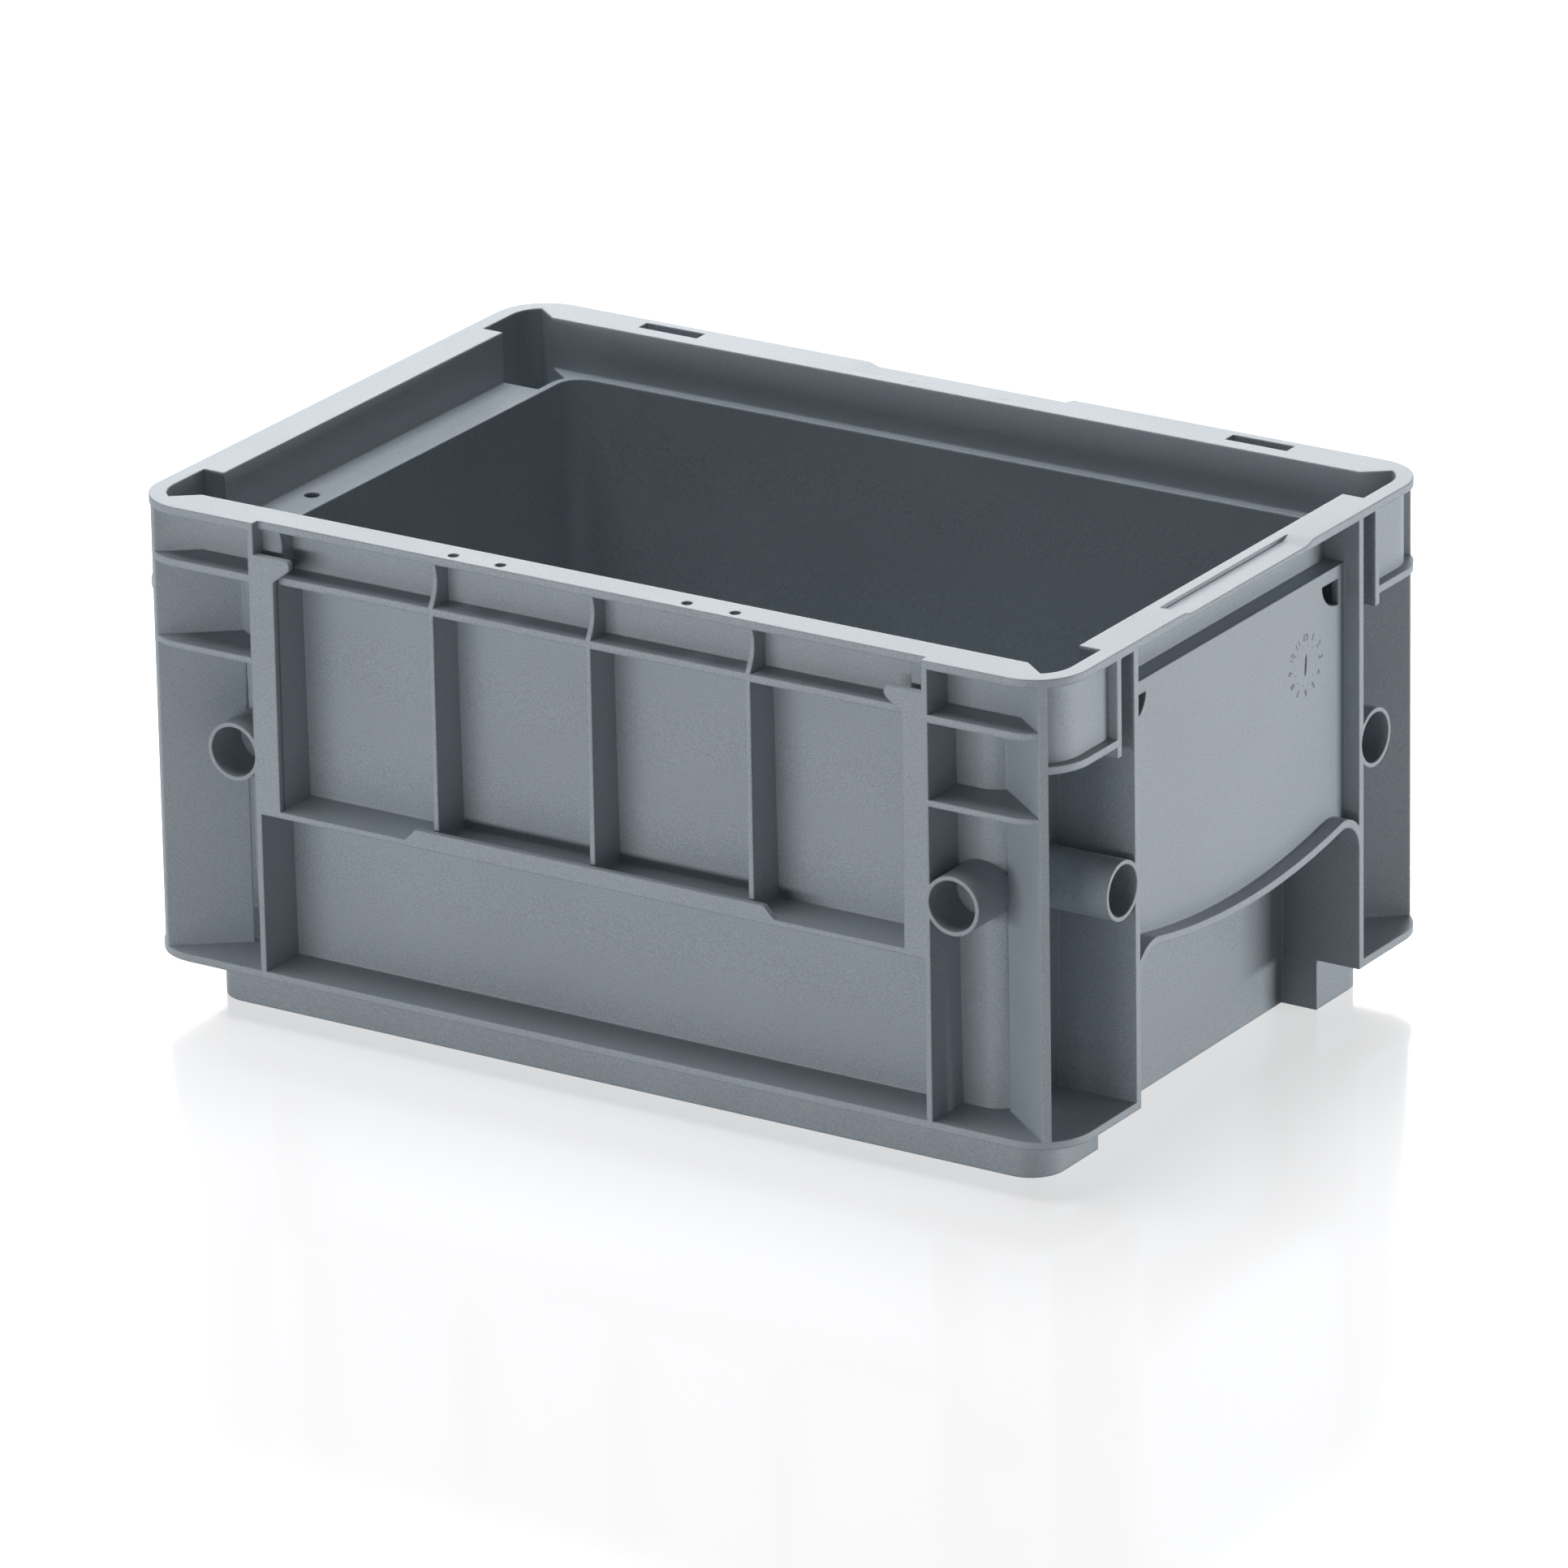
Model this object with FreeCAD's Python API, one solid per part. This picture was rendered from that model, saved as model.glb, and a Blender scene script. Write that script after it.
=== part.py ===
"""Small load carrier: an open box that is moulded in one piece from polypropylene.

The origin is at the centre of the underside, +Z is up and +X runs along the
long side. All sizes are millimetres. Most shapes are drawn in the quadrant
with positive x and y and mirrored to the others.
"""
import FreeCAD
import Part

import math
import os

# Overall size
LENGTH = 297.0
WIDTH = 198.0
HEIGHT = 147.5
CORNER_RADIUS = 15.6

# Tub, set in from the outside by the depth of the ribbed walls
END_WALL_DEPTH = 27.0
SIDE_WALL_DEPTH = 18.0
INNER_RADIUS = 7.0
WALL = 2.2
FLOOR = 3.3
DRAFT_DEG = 0.8

# Foot, and the nest in the rim that takes the foot of the box above
FOOT_HEIGHT = 14.7
FOOT_RADIUS = 10.0
FOOT_WALL = 2.3
NEST_DROP_CLEARANCE = 0.3
NEST_SIDE_CLEARANCE = 1.0
NEST_END_CLEARANCE = 2.1
BASE_FLANGE = 2.3

# Rim
RIM_THICKNESS = 2.3
SIDE_RIM_WIDTH = 12.5
END_RIM_WIDTH = 11.5
CORNER_RIM_WIDTH = 4.9

# Corner pockets and corner webs
POCKET_FROM_SIDE = 30.2
POCKET_DEPTH = 24.4
POCKET_PANEL = 2.2
POCKET_LIP = 3.0
WEB_THICKNESS = 2.4
WEB_ANGLE_DEG = 48.5
WEB_ROOT = 3.5

# Ribs on the walls
RIB = 1.8
CORNER_CELL = 40.0
CELL_RIB_DROP = 39.0
END_RIB_FROM_SIDE = 38.7
END_RIB = 2.4
FIELD_SETBACK = 2.6
FIELD_RIB = 1.6
FIELD_COUNT = 4
BROW_DIP = 2.4
SILL_HEIGHT = 65.0

# Card holder on the front
CARD_POST = 8.1
CARD_PLATE = 1.8
CARD_GUIDE_INSET = 1.0
HOOK_REACH = 5.4
HOOK_DROP = 7.7
HOOK_NOSE = 3.4
HOOK_SLANT = 3.5
LIP_HALF_LENGTH = 56.0
LIP_RISE = 3.4
LIP_CHAMFER = 3.4

# Sockets in the corners
TUBE_OUTER = 16.8
TUBE_WALL = 1.2
TUBE_HEIGHT = 79.8
SIDE_TUBE_FROM_RIB = 6.9
END_TUBE_FROM_RIB = 6.3

# Grip panel on each end
PANEL_SETBACK = 4.8
PANEL_WALL = 2.3
PANEL_TOP_RADIUS = 1.8
GRIP_MIDDLE = 53.6
GRIP_RISE = 5.0
GRIP_FILLET = 8.5
BEAD = 2.3
GRIP_EYE_WIDTH = 5.5
GRIP_EYE_HEIGHT = 7.5
GRIP_EYE_DROP = 1.6

# Cut-outs in the rim and ledge
PIN_HOLE = 3.0
FRONT_HOLES = (29.8, 45.0)
REAR_HOLE = 15.0
FRONT_HOLE_INSET = 6.0
REAR_HOLE_INSET = 8.0
DRAIN_HOLE = 4.5
DRAIN_FROM_MIDDLE = 37.0
SLOT_LENGTH = 19.5
SLOT_WIDTH = 4.4
SLOT_FROM_MIDDLE = 96.3
SLOT_INSET = 5.2
DISH_DEPTH = 1.0
DISH_HALF_LENGTH = 33.5
DISH_RAMP = 3.0
SIDE_DISH_WIDTH = 9.0
END_DISH_WIDTH = 8.0

# Small overshoot of cutting shapes past the faces that they cut
OVERSHOOT = 1.0

# Places that follow from the sizes above
half_x = LENGTH / 2
half_y = WIDTH / 2
nest_x = half_x - END_RIM_WIDTH
nest_y = half_y - SIDE_RIM_WIDTH
ledge_z = HEIGHT - FOOT_HEIGHT - NEST_DROP_CLEARANCE
rim_z = HEIGHT - RIM_THICKNESS
base_z = FOOT_HEIGHT + BASE_FLANGE
foot_x = nest_x - NEST_END_CLEARANCE
foot_y = nest_y - NEST_SIDE_CLEARANCE
pocket_z = HEIGHT - POCKET_DEPTH
pocket_y = half_y - POCKET_FROM_SIDE
panel_inset = CORNER_RIM_WIDTH - POCKET_PANEL
end_rib_y = half_y - END_RIB_FROM_SIDE
grip_y = end_rib_y - END_RIB
post_x = half_x - CORNER_CELL
plate_x = post_x - CARD_POST
guide_x = plate_x + CARD_GUIDE_INSET
field_y = half_y - FIELD_SETBACK
panel_x = half_x - PANEL_SETBACK
floor_x = half_x - END_WALL_DEPTH
floor_y = half_y - SIDE_WALL_DEPTH
draft = (ledge_z - FLOOR) * math.tan(math.radians(DRAFT_DEG))
tub_x = floor_x + WALL
tub_y = floor_y + WALL
tub_top_x = tub_x + draft
tub_top_y = tub_y + draft


def box(x0, x1, y0, y1, z0, z1):
    """Return the box between two opposite corners."""
    corner = FreeCAD.Vector(x0, y0, z0)
    return Part.makeBox(x1 - x0, y1 - y0, z1 - z0, corner)


def rounded_wire(reach_x, reach_y, radius, z):
    """Return a level rectangle about the middle with round corners."""
    edges = []
    quarter = math.pi / 2
    ends = []
    for turn, (side_x, side_y) in enumerate(((1, 1), (-1, 1), (-1, -1), (1, -1))):
        centre = FreeCAD.Vector(side_x * (reach_x - radius), side_y * (reach_y - radius), z)
        on_arc = []
        for step in (0.0, 0.5, 1.0):
            angle = (turn + step) * quarter
            offset = FreeCAD.Vector(radius * math.cos(angle), radius * math.sin(angle), 0)
            on_arc.append(centre + offset)
        edges.append(Part.Arc(*on_arc).toShape())
        ends.append((on_arc[0], on_arc[2]))
    for turn in range(4):
        start = ends[turn][1]
        stop = ends[(turn + 1) % 4][0]
        edges.append(Part.LineSegment(start, stop).toShape())
    return Part.Wire(Part.__sortEdges__(edges))


def rounded_plate(reach_x, reach_y, radius, z0, z1):
    """Return an upright prism of a rectangle with round corners."""
    face = Part.Face(rounded_wire(reach_x, reach_y, radius, z0))
    return face.extrude(FreeCAD.Vector(0, 0, z1 - z0))


def envelope(inset, z0, z1):
    """Return the outline of the whole box, drawn in by inset, as a prism."""
    return rounded_plate(half_x - inset, half_y - inset, CORNER_RADIUS - inset, z0, z1)


def prism(points, direction):
    """Return the flat polygon through the points, extruded along direction."""
    face = Part.Face(Part.makePolygon(points + points[:1]))
    return face.extrude(direction)


def plan_prism(outline, z0, z1):
    """Return an upright prism of a polygon given as x, y pairs."""
    points = [FreeCAD.Vector(x, y, z0) for x, y in outline]
    return prism(points, FreeCAD.Vector(0, 0, z1 - z0))


def in_x(shape):
    """Return a shape and its mirror image on the other end."""
    return [shape, shape.mirror(FreeCAD.Vector(), FreeCAD.Vector(1, 0, 0))]


def in_y(shape):
    """Return a shape and its mirror image on the other side."""
    return [shape, shape.mirror(FreeCAD.Vector(), FreeCAD.Vector(0, 1, 0))]


def four_ways(shape):
    """Return a shape of one quadrant and its images in the other three."""
    return [copy for image in in_x(shape) for copy in in_y(image)]


def front(shape):
    """Return a shape, drawn on the side with positive y, on the front instead."""
    return in_y(shape)[1]


def fused(shapes):
    """Return the union of several shapes."""
    return shapes[0].multiFuse(shapes[1:]) if len(shapes) > 1 else shapes[0]


def tapered_tub(grow, z0, z1):
    """Return the drafted tub between two heights, grown sideways by grow."""
    wires = []
    for z in (z0, z1):
        spread = grow + (z - FLOOR) * math.tan(math.radians(DRAFT_DEG))
        wires.append(rounded_wire(floor_x + spread, floor_y + spread, INNER_RADIUS + grow, z))
    return Part.makeLoft(wires, True, True)


def web_line():
    """Return the root, the direction and the length of the corner web's inner face."""
    root = FreeCAD.Vector(tub_top_x, tub_top_y - WEB_ROOT, 0)
    angle = math.radians(WEB_ANGLE_DEG)
    centre = FreeCAD.Vector(half_x - CORNER_RADIUS, half_y - CORNER_RADIUS, 0)
    rim_point = FreeCAD.Vector(math.cos(angle), math.sin(angle), 0) * CORNER_RADIUS
    run = centre + rim_point - root
    return root, run.normalize(), (centre + rim_point - root).Length


def beyond_web(low_y, z0, z1):
    """Return the room on the end's side of the corner web, above low_y in plan."""
    root, along, length = web_line()
    start = root - along * (INNER_RADIUS + WALL)
    stop = root + along * (length + CORNER_RADIUS)
    far_x = half_x + CORNER_RADIUS
    outline = [(start.x, low_y), (start.x, start.y), (stop.x, stop.y), (far_x, stop.y), (far_x, low_y)]
    return plan_prism(outline, z0, z1)


def before_web(low_x, z0, z1):
    """Return the room on the long side's side of the corner web, from low_x on."""
    root, along, length = web_line()
    start = root - along * WALL
    stop = root + along * (length + CORNER_RADIUS)
    far_y = half_y + CORNER_RADIUS
    outline = [(low_x, start.y), (start.x, start.y), (stop.x, stop.y), (stop.x, far_y), (low_x, far_y)]
    return plan_prism(outline, z0, z1)


def corner_web():
    """Return the slanting wall from the tub's corner to the box's corner."""
    root, along, length = web_line()
    across = FreeCAD.Vector(-along.y, along.x, 0) * WEB_THICKNESS
    start = root - along * WALL
    stop = root + along * (length + WEB_THICKNESS)
    corners = [start, stop, stop + across, start + across]
    slab = plan_prism([(p.x, p.y) for p in corners], FOOT_HEIGHT, HEIGHT)
    return slab.common(envelope(0, FOOT_HEIGHT, rim_z))


def corner_pocket_body():
    """Return the closed corner pocket with its curved panel, floor and side wall."""
    side_y = pocket_y - WALL
    floor_z = pocket_z - WALL
    shell = envelope(panel_inset, floor_z, HEIGHT).common(beyond_web(side_y, floor_z, HEIGHT))
    band = envelope(0, floor_z, pocket_z).common(beyond_web(side_y, floor_z, pocket_z))
    side = box(tub_top_x, half_x, side_y, pocket_y, floor_z - POCKET_LIP, rim_z)
    return fused([shell, band, side])


def corner_pocket_room():
    """Return the room inside the corner pocket, down to its floor."""
    room = envelope(CORNER_RIM_WIDTH, pocket_z, HEIGHT + OVERSHOOT)
    room = room.common(beyond_web(pocket_y, pocket_z, HEIGHT + OVERSHOOT))
    return room.cut(tapered_tub(WALL, pocket_z - OVERSHOOT, ledge_z))


def foot():
    """Return the foot with its corner blocks, hollow from below."""
    block = rounded_plate(foot_x, foot_y, FOOT_RADIUS, 0, base_z)
    radius = FOOT_RADIUS - FOOT_WALL
    inside = rounded_plate(foot_x - FOOT_WALL, foot_y - FOOT_WALL, radius, -OVERSHOOT, FOOT_HEIGHT)
    corner = box(tub_x, foot_x, grip_y + FOOT_WALL, foot_y, -OVERSHOOT, FOOT_HEIGHT)
    hollows = [inside.common(quarter) for quarter in four_ways(corner)]
    return block.cut(fused(hollows))


def base_flange():
    """Return the flange round the foot, on which the box stands on the one below."""
    return envelope(0, FOOT_HEIGHT, base_z)


def hand_recess():
    """Return the room that is cut into the foot and flange under a grip panel."""
    return box(tub_x, half_x + OVERSHOOT, -grip_y, grip_y, -OVERSHOOT, base_z + OVERSHOOT)


def ledge():
    """Return the level plate at the foot of the nest, with the ribs that it runs out to."""
    z0 = ledge_z - WALL
    plates = [
        box(-nest_x - WALL, nest_x + WALL, -pocket_y, pocket_y, z0, ledge_z),
        box(-panel_x, panel_x, -grip_y, grip_y, z0, ledge_z),
        box(-nest_x, nest_x, -nest_y - WALL, nest_y + WALL, z0, ledge_z),
        box(-post_x, post_x, -field_y, field_y, z0, ledge_z),
    ]
    return fused(plates).cut(fused(four_ways(beyond_web(pocket_y, z0, ledge_z))))


def upper_walls():
    """Return the block round the nest; the nest's room is cut out of it later."""
    ends = box(-nest_x - WALL, nest_x + WALL, -pocket_y, pocket_y, ledge_z, rim_z)
    sides = box(-nest_x, nest_x, -nest_y - WALL, nest_y + WALL, ledge_z, rim_z)
    sides = sides.cut(fused(four_ways(beyond_web(pocket_y, ledge_z, rim_z))))
    return fused([ends, sides])


def nest_room():
    """Return the room that takes the foot of the box above."""
    top = HEIGHT + OVERSHOOT
    root, along, length = web_line()
    web_x = root.x + (nest_y - root.y) * along.x / along.y
    across = box(-nest_x, nest_x, -pocket_y, pocket_y, ledge_z, top)
    lengthwise = box(-web_x, web_x, -nest_y, nest_y, ledge_z, top)
    return fused([across, lengthwise])


def rim():
    """Return the flat rim; its front edge is set back between the card posts."""
    plate = envelope(0, rim_z, HEIGHT)
    step_x = post_x - RIB
    setback = box(-step_x, step_x, -half_y - OVERSHOOT, -field_y, rim_z - OVERSHOOT, HEIGHT + OVERSHOOT)
    return plate.cut(setback)


def corner_cell_ribs():
    """Return the ribs of one corner cell on the long side."""
    cell_rib_z = HEIGHT - CELL_RIB_DROP
    levels = [(ledge_z - WALL, ledge_z), (cell_rib_z - RIB, cell_rib_z)]
    ribs = [before_web(post_x - RIB, z0, z1).common(envelope(0, z0, z1)) for z0, z1 in levels]
    ribs.append(box(post_x - RIB, post_x, floor_y + WALL / 2, half_y, FOOT_HEIGHT, rim_z))
    return fused(ribs)


def end_rib():
    """Return the deep rib beside a grip panel, from the tub to the end's plane."""
    return box(floor_x + WALL / 2, half_x, grip_y, end_rib_y, FOOT_HEIGHT, rim_z)


def field_rib(middle):
    """Return one upright rib of the field between the posts, up to the ledge."""
    x0 = middle - FIELD_RIB / 2
    return box(x0, x0 + FIELD_RIB, floor_y + WALL / 2, field_y, SILL_HEIGHT - RIB, ledge_z)


def brow(x0, x1):
    """Return the short rib above the ledge with its hollow front edge."""
    dip = FreeCAD.Vector(x0, field_y - BROW_DIP, (ledge_z + rim_z) / 2)
    low = FreeCAD.Vector(x0, field_y, ledge_z)
    high = FreeCAD.Vector(x0, field_y - FIELD_SETBACK / 2, rim_z)
    back_high = FreeCAD.Vector(x0, nest_y + WALL / 2, rim_z)
    back_low = FreeCAD.Vector(x0, nest_y + WALL / 2, ledge_z)
    edges = [
        Part.Arc(low, dip, high).toShape(),
        Part.makePolygon([high, back_high, back_low, low]),
    ]
    return Part.Face(Part.Wire(edges)).extrude(FreeCAD.Vector(x1 - x0, 0, 0))


def field():
    """Return the ribs and the sill between the posts of a long side."""
    pitch = 2 * guide_x / FIELD_COUNT
    parts = []
    for step in range(FIELD_COUNT + 1):
        middle = -guide_x + step * pitch
        parts.append(field_rib(middle))
        if 0 < step < FIELD_COUNT:
            parts.append(brow(middle - FIELD_RIB / 2, middle + FIELD_RIB / 2))
    inner = guide_x - FIELD_RIB / 2
    parts += in_x(brow(inner, post_x - RIB / 2))
    parts.append(box(-post_x, post_x, floor_y + WALL / 2, half_y, SILL_HEIGHT - RIB, SILL_HEIGHT))
    return fused(parts)


def card_post():
    """Return the front plate of a card post with the hook at its head."""
    head_z = ledge_z + HOOK_DROP - HOOK_NOSE / 2
    tip_x = plate_x - HOOK_REACH
    radius = HOOK_NOSE / 4
    y = half_y - CARD_PLATE
    nose_top = FreeCAD.Vector(tip_x + radius, y, head_z)
    nose_mid = FreeCAD.Vector(tip_x, y, head_z - HOOK_NOSE / 2)
    nose_low = FreeCAD.Vector(tip_x + radius, y, head_z - HOOK_NOSE)
    slant_end = FreeCAD.Vector(plate_x, y, head_z - HOOK_NOSE - HOOK_SLANT)
    foot_in = FreeCAD.Vector(plate_x, y, SILL_HEIGHT - RIB)
    foot_out = FreeCAD.Vector(post_x, y, SILL_HEIGHT - RIB)
    head_out = FreeCAD.Vector(post_x, y, head_z)
    edges = [
        Part.Arc(nose_top, nose_mid, nose_low).toShape(),
        Part.makePolygon([nose_low, slant_end, foot_in, foot_out, head_out, nose_top]),
    ]
    return Part.Face(Part.Wire(edges)).extrude(FreeCAD.Vector(0, CARD_PLATE, 0))


def card_lip():
    """Return the raised middle of the sill, which keeps a card from sliding out."""
    top = SILL_HEIGHT + LIP_RISE
    wide = LIP_HALF_LENGTH + LIP_CHAMFER
    y = half_y - CARD_PLATE
    outline = [
        (-wide, SILL_HEIGHT - RIB), (wide, SILL_HEIGHT - RIB),
        (wide, SILL_HEIGHT), (LIP_HALF_LENGTH, top),
        (-LIP_HALF_LENGTH, top), (-wide, SILL_HEIGHT),
    ]
    points = [FreeCAD.Vector(x, y, z) for x, z in outline]
    return prism(points, FreeCAD.Vector(0, CARD_PLATE, 0))


def card_holder():
    """Return the posts, hooks and lip that hold a card on the front."""
    return fused([front(shape) for shape in in_x(card_post()) + [card_lip()]])


def tube(place, direction, length, radius):
    """Return a round bar from a place along a direction."""
    return Part.makeCylinder(radius, length, place, direction)


def side_tube(radius, root_y):
    """Return the bar of a socket on a long side, from root_y to the side's plane."""
    place = FreeCAD.Vector(post_x + SIDE_TUBE_FROM_RIB, root_y, TUBE_HEIGHT)
    return tube(place, FreeCAD.Vector(0, 1, 0), half_y - root_y, radius)


def end_tube(radius, root_x):
    """Return the bar of a socket on an end, from root_x to the end's plane."""
    place = FreeCAD.Vector(root_x, end_rib_y + END_TUBE_FROM_RIB, TUBE_HEIGHT)
    return tube(place, FreeCAD.Vector(1, 0, 0), half_x - root_x, radius)


def grip_outline(grow):
    """Return the hand opening in the end's plane, with its outline moved out by grow."""
    shoulder_y = grip_y - GRIP_FILLET
    centre_z = GRIP_MIDDLE + GRIP_RISE - GRIP_FILLET
    radius = GRIP_FILLET + grow
    turn = math.radians(45)
    bend_y = shoulder_y + radius * math.sin(turn)
    bend_z = centre_z + radius * math.cos(turn)
    shoulders = [FreeCAD.Vector(0, side * shoulder_y, centre_z + radius) for side in (-1, 1)]
    bends = [FreeCAD.Vector(0, side * bend_y, bend_z) for side in (-1, 1)]
    lows = [FreeCAD.Vector(0, side * (shoulder_y + radius), centre_z) for side in (-1, 1)]
    ground = [FreeCAD.Vector(0, low.y, base_z) for low in reversed(lows)]
    middle = FreeCAD.Vector(0, 0, GRIP_MIDDLE + grow)
    edges = [
        Part.makePolygon([lows[1]] + ground + [lows[0]]),
        Part.Arc(lows[0], bends[0], shoulders[0]).toShape(),
        Part.Arc(shoulders[0], middle, shoulders[1]).toShape(),
        Part.Arc(shoulders[1], bends[1], lows[1]).toShape(),
    ]
    return Part.Face(Part.Wire(edges))


def grip_prism(grow, x0, x1):
    """Return the hand opening as a prism along x."""
    face = grip_outline(grow)
    face.translate(FreeCAD.Vector(x0, 0, 0))
    return face.extrude(FreeCAD.Vector(x1 - x0, 0, 0))


def grip_eye():
    """Return the cutter of the quarter-round hole in a panel's upper corner."""
    eye_top = ledge_z - WALL - GRIP_EYE_DROP
    corner = FreeCAD.Vector(0, grip_y, eye_top)
    inner = FreeCAD.Vector(0, grip_y - GRIP_EYE_WIDTH, eye_top)
    low = FreeCAD.Vector(0, grip_y, eye_top - GRIP_EYE_HEIGHT)
    turn = math.radians(45)
    bend = FreeCAD.Vector(
        0, grip_y - GRIP_EYE_WIDTH * math.sin(turn), eye_top - GRIP_EYE_HEIGHT * math.cos(turn)
    )
    edges = [Part.makePolygon([low, corner, inner]), Part.Arc(inner, bend, low).toShape()]
    face = Part.Face(Part.Wire(edges))
    face.translate(FreeCAD.Vector(panel_x - PANEL_WALL - OVERSHOOT, 0, 0))
    return face.extrude(FreeCAD.Vector(PANEL_WALL + 2 * OVERSHOOT, 0, 0))


def grip_panel():
    """Return the panel in front of the fingers, with the bead along its lower edge."""
    inner_x = panel_x - PANEL_WALL
    panel = box(inner_x, panel_x, -grip_y, grip_y, GRIP_MIDDLE, ledge_z)
    between_ribs = box(inner_x, half_x, -grip_y, grip_y, base_z, ledge_z)
    bead = grip_prism(BEAD, inner_x, half_x).common(between_ribs)
    opening = grip_prism(0, inner_x - OVERSHOOT, half_x + OVERSHOOT)
    eyes = fused(in_y(grip_eye()))
    panel = panel.cut(grip_prism(BEAD / 2, inner_x - OVERSHOOT, panel_x + OVERSHOOT)).cut(eyes)
    return fused([panel, bead.cut(opening)])


def round_panel_head(shape):
    """Return the shape with the panel's upper outer edge rounded off."""
    edges = []
    for edge in shape.Edges:
        middle = edge.CenterOfMass
        level = abs(middle.z - ledge_z) < 0.01 and abs(edge.BoundBox.ZLength) < 0.01
        if level and abs(abs(middle.x) - panel_x) < 0.01 and edge.Length > grip_y:
            edges.append(edge)
    return shape.makeFillet(PANEL_TOP_RADIUS, edges)


def rim_dish(half_length, width, edge_y):
    """Return the cutter of a shallow dish in the rim with ramped ends."""
    low = half_length - DISH_RAMP
    over = half_length + DISH_RAMP * OVERSHOOT / DISH_DEPTH
    y0 = edge_y - width
    outline = [
        (-low, HEIGHT - DISH_DEPTH), (low, HEIGHT - DISH_DEPTH),
        (over, HEIGHT + OVERSHOOT), (-over, HEIGHT + OVERSHOOT),
    ]
    points = [FreeCAD.Vector(x, y0, z) for x, z in outline]
    return prism(points, FreeCAD.Vector(0, width + OVERSHOOT, 0))


def rim_cutouts():
    """Return the cutters of the rim's holes, slots and dishes."""
    drill_z = rim_z - OVERSHOOT
    depth = RIM_THICKNESS + 2 * OVERSHOOT
    up = FreeCAD.Vector(0, 0, 1)
    cutters = []
    for x in FRONT_HOLES:
        place = FreeCAD.Vector(x, FRONT_HOLE_INSET - half_y, drill_z)
        cutters += in_x(tube(place, up, depth, PIN_HOLE / 2))
    place = FreeCAD.Vector(REAR_HOLE, half_y - REAR_HOLE_INSET, drill_z)
    cutters += in_x(tube(place, up, depth, PIN_HOLE / 2))
    y0 = half_y - SLOT_INSET - SLOT_WIDTH / 2
    x0 = SLOT_FROM_MIDDLE - SLOT_LENGTH / 2
    cutters += in_x(box(x0, x0 + SLOT_LENGTH, y0, y0 + SLOT_WIDTH, drill_z, drill_z + depth))
    cutters.append(rim_dish(DISH_HALF_LENGTH, SIDE_DISH_WIDTH, half_y))
    end_dish = rim_dish(DISH_HALF_LENGTH, END_DISH_WIDTH, half_x)
    end_dish.rotate(FreeCAD.Vector(), up, -90)
    cutters.append(end_dish)
    return cutters


def drain_hole():
    """Return the cutter of the small hole in one end's ledge."""
    x = -(nest_x + floor_x + draft) / 2
    place = FreeCAD.Vector(x, -DRAIN_FROM_MIDDLE, ledge_z - WALL - OVERSHOOT)
    return tube(place, FreeCAD.Vector(0, 0, 1), WALL + 2 * OVERSHOOT, DRAIN_HOLE / 2)


def carrier_box():
    """Return the whole moulding as one solid."""
    body = fused([foot(), base_flange()]).cut(fused(in_x(hand_recess())))
    parts = [body, tapered_tub(WALL, 0, ledge_z), ledge(), upper_walls(), rim()]
    parts += four_ways(corner_web())
    parts += four_ways(corner_pocket_body())
    parts += four_ways(corner_cell_ribs())
    parts += four_ways(end_rib())
    parts += in_y(field())
    parts.append(card_holder())
    parts += in_x(grip_panel())
    parts += four_ways(side_tube(TUBE_OUTER / 2, floor_y + WALL / 2))
    parts += four_ways(end_tube(TUBE_OUTER / 2, floor_x + WALL / 2))
    solid = fused(parts)
    rooms = [tapered_tub(0, FLOOR, ledge_z + OVERSHOOT), nest_room(), drain_hole()]
    rooms += four_ways(corner_pocket_room())
    bore = TUBE_OUTER / 2 - TUBE_WALL
    rooms += four_ways(side_tube(bore, tub_top_y))
    rooms += four_ways(end_tube(bore, tub_top_x))
    rooms += rim_cutouts()
    solid = solid.cut(fused(rooms)).removeSplitter()
    return round_panel_head(solid)


def main():
    """Write the moulding's one solid."""
    os.makedirs("parts", exist_ok=True)
    shape = carrier_box()
    solids = shape.Solids
    print("solids", len(solids), "valid", shape.isValid(), "volume cm3", round(shape.Volume / 1000, 1))
    solids[0].exportStep("parts/carrier_box.step")


if __name__ == "__main__":
    main()
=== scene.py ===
"""Studio view of the small load carrier: its moulded shell, the date dial and the floor."""

import logging
import math
from dataclasses import dataclass
from enum import Enum

import bmesh
import bpy
import numpy as np
from mathutils import Matrix, Vector


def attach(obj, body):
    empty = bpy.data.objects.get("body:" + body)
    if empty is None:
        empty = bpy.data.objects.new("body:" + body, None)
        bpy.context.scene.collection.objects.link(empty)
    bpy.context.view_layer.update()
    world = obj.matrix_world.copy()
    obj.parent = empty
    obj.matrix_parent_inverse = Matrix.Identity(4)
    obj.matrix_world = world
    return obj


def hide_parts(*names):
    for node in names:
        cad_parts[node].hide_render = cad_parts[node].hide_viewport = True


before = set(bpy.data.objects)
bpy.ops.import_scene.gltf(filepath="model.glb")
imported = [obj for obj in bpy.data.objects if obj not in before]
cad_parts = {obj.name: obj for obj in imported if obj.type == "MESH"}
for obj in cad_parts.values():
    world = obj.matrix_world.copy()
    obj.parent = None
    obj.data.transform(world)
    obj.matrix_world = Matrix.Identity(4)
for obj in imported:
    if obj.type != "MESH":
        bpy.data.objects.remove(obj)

LOG = logging.getLogger("carrier")
ROOT = "root"
NODE = "carrier_box"
IMAGE_SIDE_PX = 1932
SENSOR_MM = 36.0
SAME_PLACE = 1e-7


class Sight(Enum):
    """Kinds of light ray that see the studio as plain white, by their Light Path output."""

    CAMERA = "Is Camera Ray"
    GLOSSY = "Is Glossy Ray"
    TRANSMITTED = "Is Transmission Ray"


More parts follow.
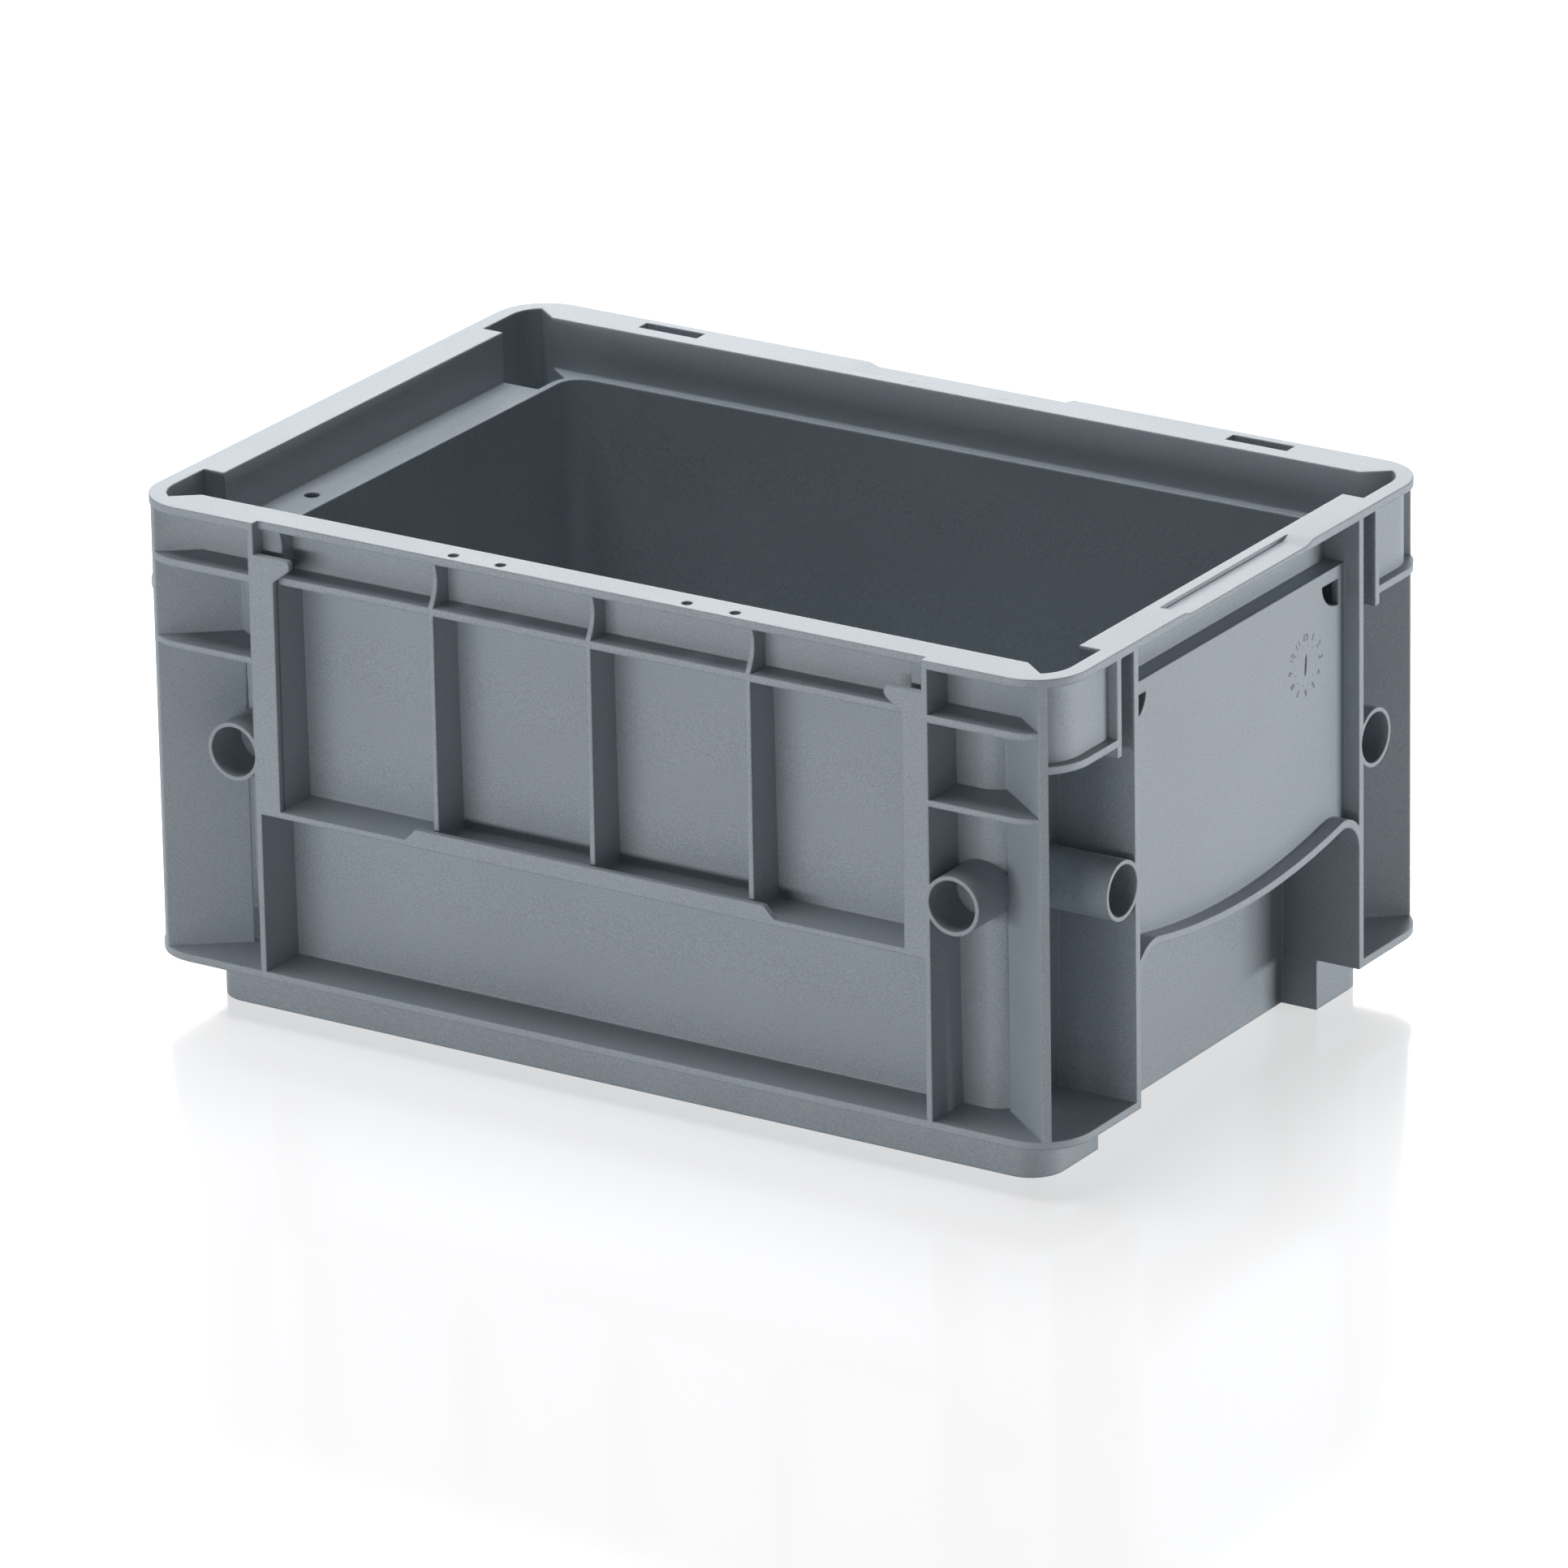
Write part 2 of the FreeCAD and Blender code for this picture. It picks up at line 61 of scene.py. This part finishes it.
def new_group(name: str, inputs: dict, outputs: dict) -> bpy.types.NodeTree:
    """Make an empty shader node group with its sockets.

    Args:
        name: Name of the group.
        inputs: Socket name to a pair of socket type and first value.
        outputs: Socket name to socket type.

    Returns:
        The node group, with Group Input and Group Output nodes named "in" and "out".
    """
    group = bpy.data.node_groups.new(name, "ShaderNodeTree")
    for label, (kind, value) in inputs.items():
        socket = group.interface.new_socket(label, in_out="INPUT", socket_type=kind)
        if value is not None:
            socket.default_value = value
    for label, kind in outputs.items():
        group.interface.new_socket(label, in_out="OUTPUT", socket_type=kind)
    group.nodes.new("NodeGroupInput").name = "in"
    group.nodes.new("NodeGroupOutput").name = "out"
    return group


def add_math(group: bpy.types.NodeTree, operation: str, first: object, second: object) -> object:
    """Add a Math node and return its output.

    Args:
        group: Node tree that takes the node.
        operation: Blender's name of the operation.
        first: Socket or number.
        second: Socket or number.

    Returns:
        The node's output socket.
    """
    node = group.nodes.new("ShaderNodeMath")
    node.operation = operation
    for socket, value in zip(node.inputs, (first, second)):
        if isinstance(value, bpy.types.NodeSocket):
            group.links.new(value, socket)
        else:
            socket.default_value = value
    return node.outputs[0]


def add_noise(group: bpy.types.NodeTree, vector: object, size: float, detail: float) -> object:
    """Add a Noise Texture with a grain of a given size.

    Args:
        group: Node tree that takes the node.
        vector: Socket with the place in metres.
        size: Size of the grain in metres.
        detail: Number of finer octaves.

    Returns:
        The noise value's socket, from 0 to 1.
    """
    node = group.nodes.new("ShaderNodeTexNoise")
    node.inputs["Scale"].default_value = 1 / size
    node.inputs["Detail"].default_value = detail
    group.links.new(vector, node.inputs["Vector"])
    return node.outputs[0]


@dataclass(frozen=True)
class MouldGrain:
    """Eroded surface of the mould, as the plastic takes it up.

    The height is the sum of a fine and a coarse noise. The fine noise and a
    slow cloud spread the roughness and the shade about their middle values.
    Grain sizes are in metres.
    """

    fine: float = 0.00042
    coarse: float = 0.0016
    cloud: float = 0.045
    coarse_share: float = 0.6
    speck_share: float = 2.6
    cloud_share: float = 0.6
    octaves: float = 2.0
    cloud_octaves: float = 3.0
    middle: float = 0.5

    def build(self) -> bpy.types.NodeTree:
        """Return the node group with outputs Shade, Roughness and Height."""
        group = new_group(
            "mould_grain",
            {
                "Vector": ("NodeSocketVector", None),
                "Roughness": ("NodeSocketFloat", 0.5),
                "Spread": ("NodeSocketFloat", 0.1),
            },
            {"Shade": "NodeSocketFloat", "Roughness": "NodeSocketFloat", "Height": "NodeSocketFloat"},
        )
        source, result = group.nodes["in"], group.nodes["out"]
        place = source.outputs["Vector"]
        fine = add_noise(group, place, self.fine, self.octaves)
        coarse = add_noise(group, place, self.coarse, self.octaves)
        cloud = add_noise(group, place, self.cloud, self.cloud_octaves)
        height = add_math(group, "ADD", fine, add_math(group, "MULTIPLY", coarse, self.coarse_share))
        speck = add_math(group, "SUBTRACT", fine, self.middle)
        drift = add_math(group, "SUBTRACT", cloud, self.middle)
        uneven = add_math(group, "ADD", drift, speck)
        spread = add_math(group, "MULTIPLY", uneven, source.outputs["Spread"])
        roughness = add_math(group, "ADD", source.outputs["Roughness"], spread)
        specks = add_math(group, "MULTIPLY", speck, self.speck_share)
        clouds = add_math(group, "MULTIPLY", drift, self.cloud_share)
        shade = add_math(group, "ADD", add_math(group, "ADD", specks, clouds), self.middle)
        group.links.new(shade, result.inputs["Shade"])
        group.links.new(roughness, result.inputs["Roughness"])
        group.links.new(height, result.inputs["Height"])
        return group


@dataclass(frozen=True)
class MouldedPlastic:
    """Matt blue-grey polypropylene with a fine eroded grain and slightly rounded edges."""

    name: str = "moulded_plastic_matt"
    dark: tuple = (0.232, 0.268, 0.300, 1.0)
    light: tuple = (0.322, 0.366, 0.404, 1.0)
    roughness: float = 0.46
    spread: float = 0.12
    specular: float = 0.5
    grain_height: float = 0.00004
    edge_radius: float = 0.0009
    edge_samples: int = 6

    def build(self, grain: bpy.types.NodeTree) -> bpy.types.Material:
        """Make the material.

        Args:
            grain: The mould_grain node group.

        Returns:
            The material.
        """
        material = bpy.data.materials.new(self.name)
        material.use_nodes = True
        tree = material.node_tree
        shader = tree.nodes["Principled BSDF"]
        shader.inputs["Specular IOR Level"].default_value = self.specular
        place = tree.nodes.new("ShaderNodeTexCoord").outputs["Object"]
        group = tree.nodes.new("ShaderNodeGroup")
        group.node_tree = grain
        group.inputs["Roughness"].default_value = self.roughness
        group.inputs["Spread"].default_value = self.spread
        tree.links.new(place, group.inputs["Vector"])
        mix = tree.nodes.new("ShaderNodeMix")
        mix.data_type = "RGBA"
        mix.inputs["A"].default_value = self.dark
        mix.inputs["B"].default_value = self.light
        tree.links.new(group.outputs["Shade"], mix.inputs["Factor"])
        tree.links.new(mix.outputs["Result"], shader.inputs["Base Color"])
        tree.links.new(group.outputs["Roughness"], shader.inputs["Roughness"])
        edge = tree.nodes.new("ShaderNodeBevel")
        edge.samples = self.edge_samples
        edge.inputs["Radius"].default_value = self.edge_radius
        bump = tree.nodes.new("ShaderNodeBump")
        tree.links.new(edge.outputs["Normal"], bump.inputs["Normal"])
        bump.inputs["Distance"].default_value = self.grain_height
        tree.links.new(group.outputs["Height"], bump.inputs["Height"])
        tree.links.new(bump.outputs["Normal"], shader.inputs["Normal"])
        return material


def mesh_object(
    name: str, points: np.ndarray, faces: list, material: bpy.types.Material
) -> bpy.types.Object:
    """Make a mesh object at the origin, with its faces turned outwards.

    Args:
        name: Name of the piece.
        points: Places in metres, one row each.
        faces: Index lists.
        material: Finish of the piece.

    Returns:
        The object, linked into the scene.
    """
    mesh = bpy.data.meshes.new(name)
    mesh.from_pydata(points.tolist(), [], faces)
    made = bmesh.new()
    made.from_mesh(mesh)
    bmesh.ops.remove_doubles(made, verts=made.verts, dist=SAME_PLACE)
    bmesh.ops.recalc_face_normals(made, faces=made.faces)
    made.to_mesh(mesh)
    made.free()
    mesh.materials.append(material)
    piece = bpy.data.objects.new(name, mesh)
    bpy.context.scene.collection.objects.link(piece)
    return piece


def grid_faces(rows: int, columns: int, wrap_first: bool) -> list:
    """Return the quads of a grid of points.

    Args:
        rows: Points along the first parameter.
        columns: Points along the second parameter.
        wrap_first: True if the last row joins the first.

    Returns:
        Index lists of four.
    """
    index = np.arange(rows * columns).reshape(rows, columns)
    following = np.roll(index, -1, axis=0)
    count = rows if wrap_first else rows - 1
    low, high = index[:count], following[:count]
    quads = np.stack([low[:, :-1], high[:, :-1], high[:, 1:], low[:, 1:]], -1)
    return quads.reshape(-1, 4).tolist()


def merged(parts: list) -> tuple[np.ndarray, list]:
    """Return several point and face pairs as one pair.

    Args:
        parts: Pairs of points and faces.

    Returns:
        All points, and the faces with their indices moved on.
    """
    points, faces, start = [], [], 0
    for place, quads in parts:
        points.append(place)
        faces += [[corner + start for corner in quad] for quad in quads]
        start += len(place)
    return np.concatenate(points), faces


@dataclass
class CarrierShell:
    """The moulding, as a merged copy of its node with the grip panels' heads and eyes finished.

    Sizes are in metres. The copy takes over the node's shape everywhere else.
    """

    material: bpy.types.Material
    groove: tuple[np.ndarray, list]
    panel_x: float = 0.1437
    panel_wall: float = 0.0023
    rib_y: float = 0.0579
    head_z: float = 0.1325
    head_depth: float = 0.0018
    wall_outer_x: float = 0.1392
    wall_inner_x: float = 0.1370
    wall_left: float = 0.0010
    rim_under_z: float = 0.1452
    eye_outer_y: float = 0.0550
    eye_width: float = 0.0088
    eye_height: float = 0.0075
    eye_top_z: float = 0.1287
    cheek_inner_share: float = 0.93
    cheek_height_share: float = 1.1
    spare: float = 0.0005
    smooth_deg: float = 40.0
    eye_steps: int = 10

    def block(self, low: tuple, high: tuple) -> tuple[np.ndarray, list]:
        """Return the eight corners and six faces between two corners.

        Args:
            low: Lowest corner.
            high: Highest corner.

        Returns:
            Points and faces.
        """
        pick = np.array([[i >> 2 & 1, i >> 1 & 1, i & 1] for i in range(8)])
        points = np.where(pick, np.array(high), np.array(low))
        faces = [[0, 1, 3, 2], [4, 6, 7, 5], [0, 4, 5, 1], [2, 3, 7, 6], [0, 2, 6, 4], [1, 5, 7, 3]]
        return points, faces

    def eye(self, side: int) -> tuple[np.ndarray, list]:
        """Return the cutter of one eye: a quarter of an ellipse, carried through the panel along x.

        The ellipse's centre is the eye's upper outer corner.

        Args:
            side: 1 or -1, the sign of the eye's y.

        Returns:
            Points and faces.
        """
        turn = np.linspace(0, np.pi / 2, self.eye_steps + 1)
        y = side * (self.eye_outer_y - np.append(0, self.eye_width * np.cos(turn)))
        z = self.eye_top_z - np.append(0, self.eye_height * np.sin(turn))
        x = (self.panel_x - self.panel_wall - self.spare, self.panel_x + self.spare)
        points = np.concatenate([np.stack([0 * y + place, y, z], -1) for place in x])
        count = len(y)
        ring = np.arange(count)
        after = np.roll(ring, -1)
        sides = np.stack([ring, after, after + count, ring + count], -1).tolist()
        return points, [ring[::-1].tolist(), (ring + count).tolist()] + sides

    def tool(self, name: str, parts: list, right_only: list) -> bpy.types.Object:
        """Return a tool body for both ends: the given parts and the same parts turned half round.

        Args:
            name: Name of the tool.
            parts: Pairs of points and faces at the right end.
            right_only: More such pairs, which the left end doesn't have.

        Returns:
            The tool's object.
        """
        turned = [(points * np.array([-1, -1, 1]), faces) for points, faces in parts]
        return mesh_object(name, *merged(parts + turned + right_only), self.material)

    def tools(self) -> tuple[bpy.types.Object, bpy.types.Object]:
        """Return what is added to the panels and what is cut out of them."""
        inner_x = self.panel_x - self.panel_wall
        into_rib = self.rib_y + self.spare
        depth = self.head_depth + self.spare
        head_low = (self.panel_x - depth, -into_rib, self.head_z - depth)
        head = self.block(head_low, (self.panel_x, into_rib, self.head_z))
        cheek_z = self.eye_top_z - self.cheek_height_share * self.eye_height
        cheeks = []
        for side in (-1, 1):
            low_y, high_y = sorted((side * self.eye_outer_y * self.cheek_inner_share, side * into_rib))
            cheek_high = (self.panel_x, high_y, self.head_z - self.spare)
            cheeks.append(self.block((inner_x, low_y, cheek_z), cheek_high))
        step_low = (self.wall_inner_x + self.wall_left, -self.rib_y, self.head_z)
        step = self.block(step_low, (self.wall_outer_x + self.spare, self.rib_y, self.rim_under_z))
        eyes = [self.eye(side) for side in (-1, 1)]
        added = self.tool("panel_added", [head] + cheeks, [])
        return added, self.tool("panel_cut", [step] + eyes, [self.groove])

    def merged_node(self) -> bpy.types.Object:
        """Return a copy of the moulding's node whose triangles share their corners."""
        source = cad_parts[NODE].data
        points = np.empty(len(source.vertices) * 3)
        source.vertices.foreach_get("co", points)
        corners = np.empty(len(source.loops), int)
        source.loops.foreach_get("vertex_index", corners)
        triangles = corners.reshape(-1, 3).tolist()
        return mesh_object("moulded_shell", points.reshape(-1, 3), triangles, self.material)

    def shade(self, mesh: bpy.types.Mesh) -> None:
        """Shade the mesh smooth, with every edge sharper than smooth_deg kept sharp."""
        for name in ("custom_normal", "sharp_face", "sharp_edge"):
            if name in mesh.attributes:
                mesh.attributes.remove(mesh.attributes[name])
        mesh.set_sharp_from_angle(angle=math.radians(self.smooth_deg))

    def build(self) -> bpy.types.Object:
        """Return the finished shell, which stands for the moulding's node."""
        shell = self.merged_node()
        added, cut = self.tools()
        for operation, tool in (("UNION", added), ("DIFFERENCE", cut)):
            change = shell.modifiers.new(operation.lower(), "BOOLEAN")
            change.operation = operation
            change.solver = "EXACT"
            change.use_self = operation == "UNION"
            change.object = tool
        bpy.context.view_layer.update()
        changed = shell.evaluated_get(bpy.context.evaluated_depsgraph_get())
        ready = bpy.data.meshes.new_from_object(changed)
        shell.modifiers.clear()
        shell.data = ready
        for tool in (added, cut):
            bpy.data.objects.remove(tool)
        ready.materials.clear()
        ready.materials.append(self.material)
        self.shade(ready)
        weight = shell.modifiers.new("even_normals", "WEIGHTED_NORMAL")
        weight.keep_sharp = True
        LOG.info("shell has %d faces", len(ready.polygons))
        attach(shell, ROOT)
        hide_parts(NODE)
        return shell


@dataclass
class DateDial:
    """Round relief on the right grip panel that tells the month of moulding.

    Its own plane has x along +Y of the object, y up, and its origin at the centre. Sizes are in metres.
    """

    material: bpy.types.Material
    centre: tuple = (0.1437, 0.0374, 0.1092)
    numeral_ring: float = 0.0079
    numeral_size: float = 0.0029
    numeral_relief: float = 0.00011
    dot_ring: float = 0.0056
    dot_radius: float = 0.0003
    pointer_reach: float = 0.0031
    pointer_lean_deg: float = 83.0
    relief: float = 0.00014
    groove_depth: float = 0.0006
    line: float = 0.0009
    months: int = 12
    around: int = 16
    across: int = 6

    def dot(self, angle: float) -> tuple[np.ndarray, list]:
        """Return a small round cap on the dot ring: a quarter circle turned about its own axis.

        Args:
            angle: Direction of the dot from the dial's centre in radians.

        Returns:
            Points in the dial's own plane and faces.
        """
        turn = np.linspace(0, 2 * np.pi, self.around, endpoint=False)[:, None]
        rising = np.linspace(0, np.pi / 2, self.across + 1)[None, :]
        reach = self.dot_radius * np.cos(rising)
        x = self.dot_ring * np.cos(angle) + reach * np.cos(turn)
        y = self.dot_ring * np.sin(angle) + reach * np.sin(turn)
        rise = self.relief * np.sin(rising) + 0 * turn
        points = np.stack([x, y, rise], -1).reshape(-1, 3)
        return points, grid_faces(self.around, self.across + 1, wrap_first=True)

    def groove(self) -> tuple[np.ndarray, list]:
        """Return the cutter of the pointer's groove.

        The outline is an ellipse whose half length is the pointer's reach and whose half width is
        half a line, turned by the lean. It is carried from the groove's depth to just above the panel.
        """
        turn = np.linspace(0, 2 * np.pi, self.around, endpoint=False)
        along, side = self.pointer_reach * np.cos(turn), 0.5 * self.line * np.sin(turn)
        lean = math.radians(self.pointer_lean_deg)
        x = along * math.cos(lean) - side * math.sin(lean)
        y = along * math.sin(lean) + side * math.cos(lean)
        levels = (-self.groove_depth, self.relief)
        points = np.concatenate([np.stack([x, y, 0 * x + level], -1) for level in levels])
        ring = np.arange(self.around)
        after = np.roll(ring, -1)
        sides = np.stack([ring, after, after + self.around, ring + self.around], -1).tolist()
        caps = [ring[::-1].tolist(), (ring + self.around).tolist()]
        return self.placed(points), caps + sides

    def placed(self, points: np.ndarray) -> np.ndarray:
        """Return points of the dial's own plane where they lie on the panel."""
        move = np.array(self.to_panel())
        return points @ move[:3, :3].T + move[:3, 3]

    def numerals(self) -> list[bpy.types.Object]:
        """Return the plain numbers of the months as raised meshes, turned to face outwards."""
        pieces = []
        for month in range(1, self.months + 1):
            angle = math.pi / 2 - 2 * math.pi * month / self.months
            text = bpy.data.curves.new("dial_numeral_%02d" % month, "FONT")
            text.body = str(month)
            text.size = self.numeral_size
            text.align_x = "CENTER"
            text.align_y = "CENTER"
            text.extrude = self.numeral_relief / 2
            holder = bpy.data.objects.new("dial_numeral_source", text)
            mesh = bpy.data.meshes.new_from_object(holder)
            bpy.data.objects.remove(holder)
            turn = Matrix.Rotation(angle - math.pi / 2, 4, "Z")
            across = self.numeral_ring * math.cos(angle)
            up = self.numeral_ring * math.sin(angle)
            shift = Matrix.Translation((across, up, self.numeral_relief / 2))
            mesh.transform(self.to_panel() @ shift @ turn)
            mesh.materials.clear()
            mesh.materials.append(self.material)
            piece = bpy.data.objects.new("dial_numeral_%02d" % month, mesh)
            bpy.context.scene.collection.objects.link(piece)
            pieces.append(piece)
        return pieces

    def to_panel(self) -> Matrix:
        """Return the move from the dial's own plane to the panel: its x runs along +Y, its y up."""
        turn = Matrix(((0, 0, 1), (1, 0, 0), (0, 1, 0))).to_4x4()
        return Matrix.Translation(self.centre) @ turn

    def build(self) -> list[bpy.types.Object]:
        """Return the dial's pieces: the ring of dots and the numbers."""
        between = [2 * math.pi * (month + 0.5) / self.months for month in range(self.months)]
        points, faces = merged([self.dot(angle) for angle in between])
        dial = mesh_object("date_dial", self.placed(points), faces, self.material)
        dial.data.shade_smooth()
        pieces = [dial] + self.numerals()
        for piece in pieces:
            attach(piece, ROOT)
        return pieces


@dataclass
class Studio:
    """White floor, soft boxes, world and camera. Places and sizes are in metres."""

    azimuth_deg: float = 32.876
    elevation_deg: float = 20.794
    roll_deg: float = -1.0
    focal_px: float = 15663.3
    target: tuple = (-0.00064, 0.0, 0.05971)
    distance: float = 3.49728
    floor_half: float = 12.0
    floor_colour: tuple = (0.46, 0.46, 0.47, 1.0)
    floor_glow: float = 0.60
    floor_gloss: float = 0.12
    world_level: float = 0.05
    light_aim: tuple = (0.0, 0.0, 0.06)
    clip_range: tuple = (0.1, 100.0)

    def camera(self) -> bpy.types.Object:
        """Return the camera, at the photographed angle, with no shift."""
        azimuth, elevation = math.radians(self.azimuth_deg), math.radians(self.elevation_deg)
        level = math.cos(elevation)
        back = Vector((math.sin(azimuth) * level, -math.cos(azimuth) * level, math.sin(elevation)))
        right = Vector((0, 0, 1)).cross(back).normalized()
        up = back.cross(right)
        roll = math.radians(self.roll_deg)
        tilted_right = math.cos(roll) * right + math.sin(roll) * up
        tilted_up = math.cos(roll) * up - math.sin(roll) * right
        data = bpy.data.cameras.new("studio_camera")
        data.sensor_width = SENSOR_MM
        data.lens = self.focal_px / IMAGE_SIDE_PX * SENSOR_MM
        data.clip_start, data.clip_end = self.clip_range
        camera = bpy.data.objects.new("studio_camera", data)
        turn = Matrix((tilted_right, tilted_up, back)).transposed().to_4x4()
        camera.matrix_world = Matrix.Translation(Vector(self.target) + back * self.distance) @ turn
        bpy.context.scene.collection.objects.link(camera)
        bpy.context.scene.camera = camera
        return camera

    def soft_box(self, name: str, place: tuple, size: tuple, watts: float) -> bpy.types.Object:
        """Add a rectangular soft light that faces the object.

        Args:
            name: Name of the light.
            place: Its centre in metres.
            size: Width and height in metres.
            watts: Its power.

        Returns:
            The light's object.
        """
        data = bpy.data.lights.new(name, "AREA")
        data.shape = "RECTANGLE"
        data.size, data.size_y = size
        data.energy = watts
        light = bpy.data.objects.new(name, data)
        light.location = place
        facing = Vector(self.light_aim) - Vector(place)
        light.rotation_euler = facing.to_track_quat("-Z", "Y").to_euler()
        bpy.context.scene.collection.objects.link(light)
        return light

    def lights(self) -> None:
        """Add the soft boxes: overhead, low behind for the sheen of the rim, by the end and in front."""
        self.soft_box("overhead_box", (-0.3, 0.1, 1.8), (1.4, 0.9), 30.0)
        self.soft_box("rear_box", (-1.45, 2.3, 1.05), (2.2, 1.0), 32.0)
        self.soft_box("end_box", (2.1, 1.1, 0.1), (1.2, 0.16), 38.0)
        self.soft_box("front_box", (-0.5, -2.5, 0.15), (2.4, 0.26), 31.0)

    def seen_directly(self, tree: bpy.types.NodeTree) -> object:
        """Return a socket that is 1 for camera, glossy and transmitted rays, and 0 for others."""
        path = tree.nodes.new("ShaderNodeLightPath")
        seen = path.outputs[Sight.CAMERA.value]
        for kind in (Sight.GLOSSY, Sight.TRANSMITTED):
            seen = add_math(tree, "MAXIMUM", seen, path.outputs[kind.value])
        return seen

    def world(self) -> None:
        """Make a world that is white where it is seen and a soft grey where it lights."""
        world = bpy.data.worlds.new("studio_world")
        world.use_nodes = True
        tree = world.node_tree
        background = tree.nodes["Background"]
        background.inputs["Color"].default_value = (1.0, 1.0, 1.0, 1.0)
        share = add_math(tree, "MULTIPLY", self.seen_directly(tree), 1.0 - self.world_level)
        tree.links.new(add_math(tree, "ADD", share, self.world_level), background.inputs["Strength"])
        bpy.context.scene.world = world

    def floor_material(self) -> bpy.types.Material:
        """Return a white, slightly glossy floor that keeps the shadow and fades to white."""
        material = bpy.data.materials.new("studio_floor")
        material.use_nodes = True
        tree = material.node_tree
        shader = tree.nodes["Principled BSDF"]
        shader.inputs["Base Color"].default_value = self.floor_colour
        shader.inputs["Roughness"].default_value = self.floor_gloss
        shader.inputs["Emission Color"].default_value = (1.0, 1.0, 1.0, 1.0)
        glow = add_math(tree, "MULTIPLY", self.seen_directly(tree), self.floor_glow)
        tree.links.new(glow, shader.inputs["Emission Strength"])
        return material

    def floor(self) -> bpy.types.Object:
        """Return the floor, a wide level plane under the object."""
        corners = self.floor_half * np.array([(-1, -1, 0), (1, -1, 0), (1, 1, 0), (-1, 1, 0)], float)
        plane = mesh_object("studio_floor", corners, [[0, 1, 2, 3]], self.floor_material())
        return plane

    def build(self) -> None:
        """Set the picture's plain colours and build all of the studio."""
        bpy.context.scene.view_settings.view_transform = "Standard"
        self.world()
        self.lights()
        self.floor()
        self.camera()


def main() -> None:
    """Build the shell, the dial and the studio in order."""
    logging.basicConfig(level=logging.INFO, format="%(name)s: %(message)s")
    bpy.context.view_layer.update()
    plastic = MouldedPlastic().build(MouldGrain().build())
    dial = DateDial(plastic)
    for piece in [CarrierShell(plastic, dial.groove()).build()] + dial.build():
        LOG.info("piece %s", piece.name)
    Studio().build()
    LOG.info("studio built")


if __name__ == "__main__":
    main()
